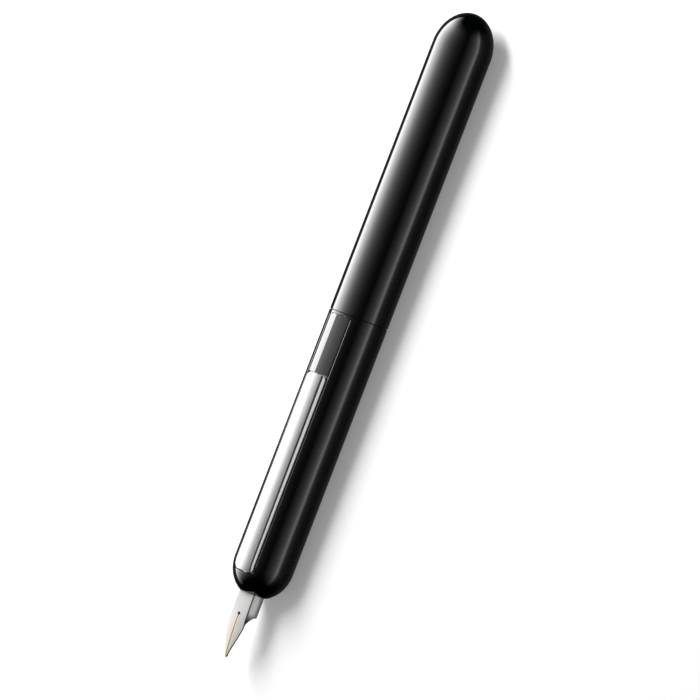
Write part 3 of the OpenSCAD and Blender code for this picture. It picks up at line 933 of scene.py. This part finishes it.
@dataclass
class ClipSet(Part):
    """The drop-in clip: a raised, tapering face between two low edges."""

    thickness: float = 0.48 * MM
    front_thickness: float = 0.36 * MM
    front_length: float = 4.8 * MM
    face_half_front: float = 2.05 * MM
    face_half_rear: float = 1.68 * MM
    step: float = 0.34 * MM
    edge: float = 0.07 * MM
    corner: float = 1.1 * MM
    rows: int = 150

    def half_at(self, x: float, low: float, high: float, full: float) -> float:
        """Half width of the clip's outline.

        Args:
            x: the place.
            low: the clip's front end.
            high: the clip's rear end.
            full: the full half width.

        Returns:
            The half width there.
        """
        inset = min(x - low, high - x)
        if inset >= self.corner:
            return full
        gap = self.corner - max(inset, 0.0)
        return full - self.corner + math.sqrt(max(self.corner ** 2 - gap ** 2, 0.0))

    def face_half_at(self, x: float, low: float, high: float, half: float) -> float:
        """Half width of the raised face, which narrows towards the free end and has round corners.

        Args:
            x: the place.
            low: the clip's front end.
            high: the clip's rear end.
            half: half the clip's own width there.

        Returns:
            The half width there.
        """
        t = (x - low) / (high - low)
        return min(self.face_half_front + (self.face_half_rear - self.face_half_front) * t, half - 2.5 * self.edge)

    def section_at(self, x: float, low: float, high: float, full: float) -> list[Point]:
        """Closed cross-section of the clip.

        Args:
            x: the place.
            low: the clip's front end.
            high: the clip's rear end.
            full: the full half width.

        Returns:
            The section's points, always the same number.
        """
        frame = self.frame
        radius = float(self.shape.radius_at(np.array([x]))[0])
        half = self.half_at(x, low, high, full)
        face = self.face_half_at(x, low, high, half)
        edge = self.edge

        def skin(y: float) -> float:
            """Height of the barrel's skin above the axis."""
            return math.sqrt(radius ** 2 - y ** 2)

        shelf = min(math.sqrt(radius ** 2 - full ** 2) + 0.04 * MM, skin(face) - 2.0 * edge)
        shelf = max(shelf, skin(face) - self.step)
        top = [(y, skin(y)) for y in np.linspace(-(face - edge), face - edge, 15)]
        crest = skin(face - edge)
        right = [(face - edge + edge * math.sin(a), crest - edge * (1.0 - math.cos(a))) for a in (0.5, 1.0, 1.5)]
        right += [(face + 0.004 * MM, shelf + 0.25 * edge), (face + 0.3 * edge, shelf)]
        right += [(half - edge, shelf - 0.01 * MM), (half - 0.3 * edge, shelf - 0.3 * edge), (half, shelf - edge)]
        inner = radius - (self.front_thickness if x < low + self.front_length else self.thickness)
        low_half = min(half, inner * 0.9)
        under = []
        for y in np.linspace(low_half, -low_half, 13):
            cap = shelf - 1.4 * edge if abs(y) > face - 4.0 * edge else inner
            under.append((y, min(math.sqrt(inner ** 2 - y ** 2), cap)))
        ring = top + right + under + [(-y, z) for y, z in reversed(right)]
        return [(x, y, frame.axis_z + z) for y, z in ring]

    def build_clip(self) -> bpy.types.Object:
        """Lofts the clip.

        Returns:
            The piece.
        """
        low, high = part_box("clip")
        full = (high[1] - low[1]) / 2.0
        ends = [low[0] + self.corner * (1.0 - math.cos(a)) for a in np.linspace(0.02, math.pi / 2.0, 14)]
        middle = list(np.linspace(low[0] + self.corner, high[0] - self.corner, self.rows))[1:-1]
        places = ends + middle + [low[0] + high[0] - x for x in reversed(ends)]
        points: list[Point] = []
        for x in places:
            points += self.section_at(x, low[0], high[0], full)
        ring = len(points) // len(places)
        faces = [[i * ring + k, i * ring + (k + 1) % ring, (i + 1) * ring + (k + 1) % ring, (i + 1) * ring + k]
                 for i in range(len(places) - 1) for k in range(ring)]
        faces += [list(range(ring)), list(range(len(points) - ring, len(points)))]
        piece = new_object("clip_blade", mesh_from("clip_blade", points, faces))
        smooth(piece, 40.0)
        return self.finish_piece(piece, "clip", ["clip"], CLIP_METAL, "polished_clip")


@dataclass
class NibSet(Part):
    """The two-tone nib and its tipping."""

    plate: float = 0.28 * MM
    reach: float = 15.2
    root: float = 6.0
    vent: float = 5.0
    vent_radius: float = 0.38 * MM
    slit_half: float = 0.08 * MM
    top: float = 2.08
    tip_top: float = 1.2
    wing_low: float = -1.3
    wing_step: float = -0.75
    wing_stop: float = -4.85
    wing_curve: float = 2.75
    fold: float = 0.32
    edge_depth: float = 0.36
    point_narrow: float = 0.8
    point_flat: float = 0.72
    point_round: float = 0.9
    outline: tuple[tuple[float, float], ...] = (
        (0.0, 0.16), (0.25, 0.36), (0.7, 0.48), (2.3, 0.98), (4.2, 1.62), (6.1, 2.2), (7.1, 2.44), (8.0, 2.5),
        (10.0, 2.45), (15.0, 2.4), (22.0, 2.4))

    def half_at(self, station: float) -> float:
        """Half width of the top plate in millimetres.

        Args:
            station: millimetres behind the mouth.

        Returns:
            The half width.
        """
        behind_tip, half = zip(*self.outline)
        return float(np.interp(self.reach + station, behind_tip, half))

    def smooth_half(self, station: float) -> float:
        """Half width, eased over a short length so that the outline has no corners."""
        return sum(self.half_at(station + k * 0.18) for k in (-2, -1, 0, 1, 2)) / 5.0

    def top_at(self, station: float) -> float:
        """Height of the plate's middle above the axis, in millimetres."""
        t = min(max((station + self.reach) / 9.5, 0.0), 1.0)
        return self.tip_top + (self.top - self.tip_top) * (1.0 - (1.0 - t) ** 1.7)

    def droop_at(self, station: float) -> float:
        """How far the plate's edges lie below its middle, in millimetres."""
        t = min(max((station + self.reach) / 8.0, 0.0), 1.0)
        late = min(max((station + 8.0) / 6.0, 0.0), 1.0)
        return 0.26 * t * (1.0 - late) + 0.05

    def wing_at(self, station: float) -> float:
        """Height of the wing's lower edge, in millimetres.

        Args:
            station: millimetres behind the mouth.

        Returns:
            The height above the axis.
        """
        edge = self.top_at(station) - self.droop_at(station) - 0.12
        if station >= self.wing_stop:
            return self.wing_low
        t = min(max((self.wing_stop - 0.1 - station) / self.wing_curve, 0.0), 1.0)
        return self.wing_step + (edge - self.wing_step) * math.sin(0.5 * math.pi * t) ** 0.8

    def section_at(self, station: float) -> list[Point]:
        """Open cross-section of the nib's outer skin, from one wing's edge to the other's.

        Args:
            station: millimetres behind the mouth.

        Returns:
            The points.
        """
        half, top, droop = self.smooth_half(station), self.top_at(station), self.droop_at(station)
        low = self.wing_at(station)
        edge = top - droop
        depth = max(edge - low, self.edge_depth)
        fold = min(self.fold, depth * 0.6, half * 0.5)
        flat = half - fold
        crown = [(y, top - droop * (y / half) ** 2) for y in np.linspace(-flat, flat, 21)]
        corner_z = crown[-1][1]
        bend = [(flat + fold * math.sin(a), corner_z - fold * (1.0 - math.cos(a))) for a in
                np.linspace(0.0, math.pi / 2.0, 7)[1:]]
        wing_end = min(low, bend[-1][1] - 0.02)
        side = [(half, bend[-1][1] + (wing_end - bend[-1][1]) * k) for k in (0.34, 0.67, 1.0)]
        right = bend + side
        left = [(-y, z) for y, z in reversed(right)]
        return [(self.frame.x(station), y * MM, self.frame.axis_z + z * MM) for y, z in left + crown + right]

    def build_nib(self) -> bpy.types.Object:
        """Lofts the nib, gives it its thickness and cuts its vent and slit.

        Returns:
            The piece.
        """
        stations = [-self.reach + 0.02 + d for d in (0.0, 0.05, 0.12, 0.22, 0.35)]
        stations += list(np.linspace(-self.reach + 0.6, -8.7, 40)) + list(np.linspace(-8.6, self.wing_stop - 0.1, 40))
        stations += [self.wing_stop] + list(np.linspace(-4.6, self.root, 30))
        points: list[Point] = []
        for s in stations:
            points += self.section_at(s)
        ring = len(points) // len(stations)
        faces = [[i * ring + k, i * ring + k + 1, (i + 1) * ring + k + 1, (i + 1) * ring + k]
                 for i in range(len(stations) - 1) for k in range(ring - 1)]
        mesh = bpy.data.meshes.new("nib_skin")
        mesh.from_pydata(points, [], faces)
        piece = new_object("nib_plate", mesh)
        shape = bmesh.new()
        shape.from_mesh(mesh)
        bmesh.ops.recalc_face_normals(shape, faces=shape.faces)
        upward = sum((f.normal.z * f.calc_area() for f in shape.faces))
        if upward < 0.0:
            bmesh.ops.reverse_faces(shape, faces=shape.faces)
        shape.to_mesh(mesh)
        shape.free()
        thick = piece.modifiers.new("thick", "SOLIDIFY")
        thick.thickness = self.plate
        thick.offset = -1.0
        apply_modifiers(piece)
        frame = self.frame
        vent = arc((frame.x(-self.vent), 0.0), (self.vent_radius, self.vent_radius), 0.0, 352.0, 44)
        slit = [(frame.x(-self.reach - 1.0), -self.slit_half), (frame.x(-self.vent), -self.slit_half),
                (frame.x(-self.vent), self.slit_half), (frame.x(-self.reach - 1.0), self.slit_half)]
        for name, outline in (("vent_cut", vent), ("slit_cut", slit)):
            carve(piece, prism(name, outline, lambda a, b, level: (a, b, frame.axis_z + level), 0.2 * MM, 4.0 * MM))
        smooth(piece, 32.0)
        finish = TwoToneNib("nib_metal", (0.58, 0.573, 0.56), roughness=0.3, tip_x=frame.x(-self.reach),
                            vent_x=frame.x(-self.vent), slit_half=self.slit_half, top_z=frame.axis_z + self.top * MM)
        return self.finish_piece(piece, "nib_unit", ["nib"], finish, "nib_metal")

    def build_tipping(self) -> bpy.types.Object:
        """Makes the small ground ball under the tip.

        Returns:
            The piece.
        """
        low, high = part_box("nib_tipping")
        centre = Vector((low[i] + high[i]) / 2.0 for i in range(3))
        radius = (high[1] - low[1]) / 2.0
        shape = bmesh.new()
        bmesh.ops.create_icosphere(shape, subdivisions=4, radius=radius)
        for vert in shape.verts:
            vert.co.y *= self.point_narrow
            vert.co.z *= self.point_flat if vert.co.z > 0.0 else self.point_round
            vert.co += centre
        mesh = bpy.data.meshes.new("tipping")
        shape.to_mesh(mesh)
        shape.free()
        piece = new_object("nib_point", mesh)
        smooth(piece, 60.0)
        return self.finish_piece(piece, "nib_unit", ["nib_tipping"], TIPPING, "tipping")


class Repeater:
    """Geometry Nodes that set copies of one shape side by side or round the pen's axis."""

    def __init__(self, name: str, material: bpy.types.Material, sizes: dict[str, float]) -> None:
        """Starts the tree.

        Args:
            name: the tree's name.
            material: what the result is made of.
            sizes: the named inputs and their values.
        """
        self.group = bpy.data.node_groups.new(name, "GeometryNodeTree")
        self.tree = Tree(self.group)
        self.material = material
        self.sizes = sizes
        self.group.interface.new_socket("Geometry", in_out="INPUT", socket_type="NodeSocketGeometry")
        for label in sizes:
            kind = "NodeSocketInt" if isinstance(sizes[label], int) else "NodeSocketFloat"
            self.group.interface.new_socket(label, in_out="INPUT", socket_type=kind)
        self.group.interface.new_socket("Geometry", in_out="OUTPUT", socket_type="NodeSocketGeometry")
        self.inputs = self.group.nodes.new("NodeGroupInput")

    def size(self, label: str) -> Val:
        """The value of a named input."""
        return Val(self.tree, self.inputs.outputs[label])

    def vector(self, x: object = 0.0, y: object = 0.0, z: object = 0.0) -> Val:
        """Joins three numbers into a vector."""
        return self.tree.node("ShaderNodeCombineXYZ", {}, {0: x, 1: y, 2: z})

    def joined(self, *shapes: Val) -> Val:
        """Joins several shapes into one.

        Args:
            shapes: the shapes.

        Returns:
            The joined geometry.
        """
        node = self.group.nodes.new("GeometryNodeJoinGeometry")
        for shape in shapes:
            self.group.links.new(shape.socket, node.inputs[0])
        return Val(self.tree, node.outputs[0])

    def made(self, shape: Val) -> bpy.types.Object:
        """Ends the tree, runs it and gives a plain mesh.

        Args:
            shape: the geometry that leaves the tree.

        Returns:
            The piece, without its modifier.
        """
        real = self.tree.node("GeometryNodeRealizeInstances", {}, {0: shape})
        dressed = self.tree.node("GeometryNodeSetMaterial", {}, {"Geometry": real, "Material": self.material})
        end = self.group.nodes.new("NodeGroupOutput")
        self.group.links.new(dressed.socket, end.inputs[0])
        piece = new_object(self.group.name, bpy.data.meshes.new(self.group.name))
        step = piece.modifiers.new("repeat", "NODES")
        step.node_group = self.group
        for item in self.group.interface.items_tree:
            if item.in_out == "INPUT" and item.name in self.sizes:
                step[item.identifier] = self.sizes[item.name]
        apply_modifiers(piece)
        return piece


@dataclass
class Repeats(Part):
    """The pieces with repeated shapes: the finned feed and the fluted knob."""

    fin_count: int = 9
    fin_pitch: float = 0.62 * MM
    fin_thick: float = 0.3 * MM
    fin_inset: float = 0.12 * MM
    core_inset: float = 0.55 * MM
    feed_start: float = -4.4
    feed_drop: float = 0.1 * MM
    tongue_length: float = 2.4 * MM
    tongue_radius: float = 0.7 * MM
    tongue_height: float = 1.42 * MM
    rib_count: int = 24
    rib_radius: float = 0.26 * MM
    rib_margin: float = 3.0 * MM
    knob_bore: float = 2.15 * MM

    def build_feed(self) -> bpy.types.Object:
        """Makes the feed: a core with a comb of fins across it, and a flat tongue under the nib's vent.

        Returns:
            The piece.
        """
        _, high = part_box("feed")
        frame = self.frame
        start = frame.x(self.feed_start)
        sizes = {"Fins": self.fin_count, "Pitch": self.fin_pitch, "Thickness": self.fin_thick,
                 "Radius": high[1] - self.fin_inset, "Core": high[1] - self.core_inset, "Length": high[0] - start,
                 "Start": start, "Height": frame.axis_z - self.feed_drop, "Tongue": self.tongue_radius,
                 "Tongue length": self.tongue_length, "Tongue height": frame.axis_z + self.tongue_height}
        kit = Repeater("feed_comb", FINISHES.material(FEED_PLASTIC), sizes)
        tree = kit.tree
        flat = {"fill_type": "NGON"}
        across = (0.0, math.pi / 2.0, 0.0)
        core = tree.node("GeometryNodeMeshCylinder", flat, {
            "Vertices": 48, "Radius": kit.size("Core"), "Depth": kit.size("Length")})
        centre = kit.vector(kit.size("Start") + kit.size("Length") * 0.5, 0.0, kit.size("Height"))
        core = tree.node("GeometryNodeTransform", {}, {"Geometry": core, "Translation": centre, "Rotation": across})
        tongue = tree.node("GeometryNodeMeshCone", flat, {
            "Vertices": 32, "Radius Top": kit.size("Tongue"), "Radius Bottom": kit.size("Core") * 0.8,
            "Depth": kit.size("Tongue length")})
        tip = kit.vector(kit.size("Start") + 0.3 * MM, 0.0, kit.size("Tongue height"))
        tongue = tree.node("GeometryNodeTransform", {}, {
            "Geometry": tongue, "Translation": tip, "Rotation": (0.0, -math.pi / 2.0, 0.0), "Scale": (0.24, 1.0, 1.0)})
        fin = tree.node("GeometryNodeMeshCylinder", flat, {
            "Vertices": 48, "Radius": kit.size("Radius"), "Depth": kit.size("Thickness")})
        fin = tree.node("GeometryNodeTransform", {}, {"Geometry": fin, "Rotation": across})
        row = tree.node("GeometryNodeMeshLine", {"mode": "OFFSET"}, {
            "Count": kit.size("Fins"), "Offset": kit.vector(kit.size("Pitch")),
            "Start Location": kit.vector(kit.size("Start") + kit.size("Pitch"), 0.0, kit.size("Height"))})
        fins = tree.node("GeometryNodeInstanceOnPoints", {}, {"Points": row, "Instance": fin})
        piece = kit.made(kit.joined(core, tongue, fins))
        return self.finish_piece(piece, "nib_unit", ["feed"], FEED_PLASTIC, "feed_plastic")

    def build_knob(self) -> bpy.types.Object:
        """Makes the converter's knob: a bored sleeve whose ribs run along it.

        Returns:
            The piece.
        """
        low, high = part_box("knob")
        rib = self.rib_radius
        sizes = {"Ribs": self.rib_count, "Rib": rib, "Radius": high[1] - rib - 0.02 * MM,
                 "Length": high[0] - low[0], "Rib length": high[0] - low[0] - self.rib_margin, "Bore": self.knob_bore,
                 "Middle": (low[0] + high[0]) / 2.0, "Height": self.frame.axis_z}
        kit = Repeater("knob_ribs", FINISHES.material(BLACK_PLASTIC), sizes)
        tree = kit.tree
        across = (0.0, math.pi / 2.0, 0.0)
        body = tree.node("GeometryNodeMeshCylinder", {"fill_type": "NGON"}, {
            "Vertices": 96, "Radius": kit.size("Radius"), "Depth": kit.size("Length")})
        bore = tree.node("GeometryNodeMeshCylinder", {"fill_type": "NGON"}, {
            "Vertices": 48, "Radius": kit.size("Bore"), "Depth": kit.size("Length") * 1.2})
        body = tree.node("GeometryNodeMeshBoolean", {"operation": "DIFFERENCE", "solver": "EXACT"}, {
            "Mesh 1": body, "Mesh 2": bore})
        bar = tree.node("GeometryNodeMeshCylinder", {"fill_type": "NGON"}, {
            "Vertices": 16, "Radius": kit.size("Rib"), "Depth": kit.size("Rib length")})
        ring = tree.node("GeometryNodeMeshCircle", {}, {"Vertices": kit.size("Ribs"), "Radius": kit.size("Radius")})
        ribs = tree.node("GeometryNodeInstanceOnPoints", {}, {"Points": ring, "Instance": bar})
        place = kit.vector(kit.size("Middle"), 0.0, kit.size("Height"))
        whole = tree.node("GeometryNodeTransform", {}, {
            "Geometry": kit.joined(body, ribs), "Translation": place, "Rotation": across})
        piece = kit.made(whole)
        smooth(piece, 40.0)
        return self.finish_piece(piece, "knob", ["knob"], BLACK_PLASTIC, "black_plastic")


@dataclass
class Insides(Part):
    """Every other piece keeps its CAD shape and gets its finish."""

    def finishes(self) -> dict[str, Finish]:
        """The finish of each CAD node.

        Returns:
            Node name to finish.
        """
        groups = (
            # The clip's lever is painted near black as shade in the gap beside the clip.
            (PAINTED_SHADE_STEEL, "clip_lever"),
            (SPRING_STEEL, "clip_spring clip_pin trunnion_left trunnion_right sled sled_pin follower_pin "
                           "retaining_ring"),
            (POLISHED_STEEL, "lid_upper lid_lower converter_collar knob_cap"),
            (TURNED_ALLOY, "shutter_cage chassis chassis_ring carriage knob_nut"),
            (BRASS, "drive_sleeve rear_bush rear_weight"),
            (BLACK_PLASTIC, "seam_washer section"),
            (FEED_PLASTIC, "nipple"),
            (RUBBER, "seal_ring section_ring sleeve_ring piston_seal_front piston_seal_rear collar_ring"),
            (WHITE_PLASTIC, "piston piston_rod"),
            (CLEAR, "ink_tube"))
        return {name: finish for finish, names in groups for name in names.split()}

    def dress(self, nodes: dict[str, bpy.types.Object]) -> None:
        """Puts each finish on its node.

        Args:
            nodes: the CAD nodes' objects.
        """
        for name, finish in self.finishes().items():
            for slot in nodes[name].material_slots:
                slot.material = FINISHES.material(finish)
            LOG.info("%s has %s", name, finish.name)


# --------------------------------------------------------------------------- studio


@dataclass(frozen=True)
class View:
    """The camera's place: it looks across the pen from in front and above."""

    frame: Frame
    lean: float = 41.4
    roll: float = 21.035
    station: float = 58.32
    aside: float = 0.669 * MM
    width: float = 155.6 * MM
    lens: float = 200.0
    sensor: float = 36.0

    def build(self) -> bpy.types.Object:
        """Makes the camera and aims it.

        Returns:
            The camera.
        """
        lean, roll = math.radians(self.lean), math.radians(self.roll)
        along = Vector((1.0, 0.0, 0.0))
        right = Vector((0.0, -math.cos(lean), -math.sin(lean)))
        back = right.cross(along)
        up_image = along * math.cos(roll) - right * math.sin(roll)
        right_image = along * math.sin(roll) + right * math.cos(roll)
        target = Vector((self.frame.x(self.station), 0.0, self.frame.axis_z)) + right * self.aside
        distance = self.width * self.lens / self.sensor
        data = bpy.data.cameras.new("camera")
        data.lens = self.lens
        data.sensor_width = self.sensor
        data.clip_start = 0.01
        data.clip_end = 50.0
        camera = bpy.data.objects.new("camera", data)
        bpy.context.scene.collection.objects.link(camera)
        turn = Matrix((right_image, up_image, back)).transposed()
        camera.matrix_world = Matrix.Translation(target + back * distance) @ turn.to_4x4()
        bpy.context.scene.camera = camera
        return camera


@dataclass(frozen=True)
class Studio:
    """A pale floor, one broad light and a soft surround."""

    frame: Frame
    floor_half: float = 3.0
    key_energy: float = 3.1
    key_aside: float = 0.2
    key_length: float = 0.5
    key_size: float = 0.16
    key_distance: float = 0.42
    key_elevation: float = 66.0
    fill: float = 0.24
    floor_glow: float = 0.2
    gloss: float = 5.0
    rear_fade: tuple[float, float] = (0.52, 0.9)
    front_fade: tuple[float, float] = (0.1, 0.84)

    def build(self) -> None:
        """Makes the floor, the light and the surround."""
        bpy.context.scene.view_settings.view_transform = "Standard"
        self.build_floor()
        self.build_key()
        self.build_surround()

    def build_floor(self) -> None:
        """Makes the floor, which mirrors don't see."""
        h = self.floor_half
        points = [(-h, -h, 0.0), (h, -h, 0.0), (h, h, 0.0), (-h, h, 0.0)]
        floor = new_object("floor", mesh_from("floor", points, [[0, 1, 2, 3]]))
        floor.data.materials.append(FINISHES.material(Paper("floor_paper", (0.86, 0.86, 0.86), glow=self.floor_glow)))
        floor.visible_glossy = False

    def build_key(self) -> None:
        """Makes the broad light above the pen, beyond it and towards its rear end."""
        data = bpy.data.lights.new("key", "AREA")
        data.shape = "RECTANGLE"
        data.size = self.key_length
        data.size_y = self.key_size
        data.energy = self.key_energy
        light = bpy.data.objects.new("key", data)
        angle = math.radians(self.key_elevation)
        back = Vector((0.0, math.cos(angle), math.sin(angle)))
        light.location = back * self.key_distance + Vector((self.key_aside, 0.0, 0.0))
        light.rotation_euler = light.location.to_track_quat("Z", "X").to_euler()
        light.visible_glossy = False
        bpy.context.scene.collection.objects.link(light)

    def build_surround(self) -> None:
        """Makes the world: white to the camera, a soft fill, and banks of light for the gloss."""
        world = bpy.data.worlds.new("surround")
        bpy.context.scene.world = world
        world.use_nodes = True
        tree = Tree(world.node_tree)
        place = tree.node("ShaderNodeTexCoord", out="Generated")
        parts = tree.raw("ShaderNodeSeparateXYZ", {}, {0: place})
        x, y, z = (Val(tree, parts.outputs[i]) for i in range(3))
        angle = tree.node("ShaderNodeMath", {"operation": "ARCTAN2"}, {0: z, 1: y * -1.0})
        turn = angle / (2.0 * math.pi) + 0.5
        bank = tree.node("ShaderNodeValToRGB", {"stops": self.bank_stops()}, {0: turn})
        ends = (1.0 - x.step(*self.rear_fade)) * (1.0 - (x * -1.0).step(*self.front_fade))
        gloss = bank * ends * self.gloss
        rays = tree.raw("ShaderNodeLightPath", {}, {})
        camera_ray = Val(tree, rays.outputs["Is Camera Ray"])
        glossy_ray = Val(tree, rays.outputs["Is Glossy Ray"])
        plain = camera_ray * 1.0 + (1.0 - camera_ray) * self.fill
        level = plain * (1.0 - glossy_ray) + gloss * glossy_ray
        shine = tree.node("ShaderNodeBackground", {}, {"Color": (1.0, 1.0, 1.0), "Strength": level})
        tree.raw("ShaderNodeOutputWorld", {}, {"Surface": shine})

    def bank_stops(self) -> list[tuple[float, float]]:
        """Brightness of the surround against the angle about the pen, from 0 to 1.

        Returns:
            (place, brightness) stops: 0 degrees is the near horizon, 90 overhead, 180 the far horizon.
        """
        by_angle = ((-180.0, 0.012), (-98.0, 0.012), (-60.0, 0.004), (-37.0, 0.007), (-27.0, 0.013), (-20.0, 0.022),
                    (-16.0, 0.04), (-12.0, 0.105), (-7.6, 0.14), (-3.4, 0.1), (2.6, 0.06), (15.0, 0.028), (30.0, 0.01),
                    (40.0, 0.0025), (50.0, 0.003), (60.0, 0.006), (71.0, 0.012), (83.0, 0.026), (95.0, 0.05),
                    (107.0, 0.095), (120.0, 0.19), (130.0, 0.33), (140.0, 0.5), (151.0, 0.7), (167.0, 1.0),
                    (176.0, 1.0), (179.9, 0.012))
        return [((a + 180.0) / 360.0, v) for a, v in by_angle]


# --------------------------------------------------------------------------- all of it


def main() -> None:
    """Builds the pen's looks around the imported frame, then the studio."""
    logging.basicConfig(level=logging.INFO, format="%(name)s: %(message)s")
    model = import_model()
    frame = Frame.read()
    shape = BodyShape(frame)
    View(frame).build()
    barrels = Barrels(frame, shape)
    barrels.build_front()
    barrels.build_rear()
    barrels.build_panel()
    clip = ClipSet(frame, shape)
    clip.build_clip()
    nib = NibSet(frame, shape)
    nib.build_nib()
    nib.build_tipping()
    repeats = Repeats(frame, shape)
    repeats.build_feed()
    repeats.build_knob()
    LOG.info("%d pieces made here", sum(len(part.made) for part in (barrels, clip, nib, repeats)))
    Insides(frame, shape).dress(model["nodes"])
    Studio(frame).build()


if __name__ == "__main__":
    main()
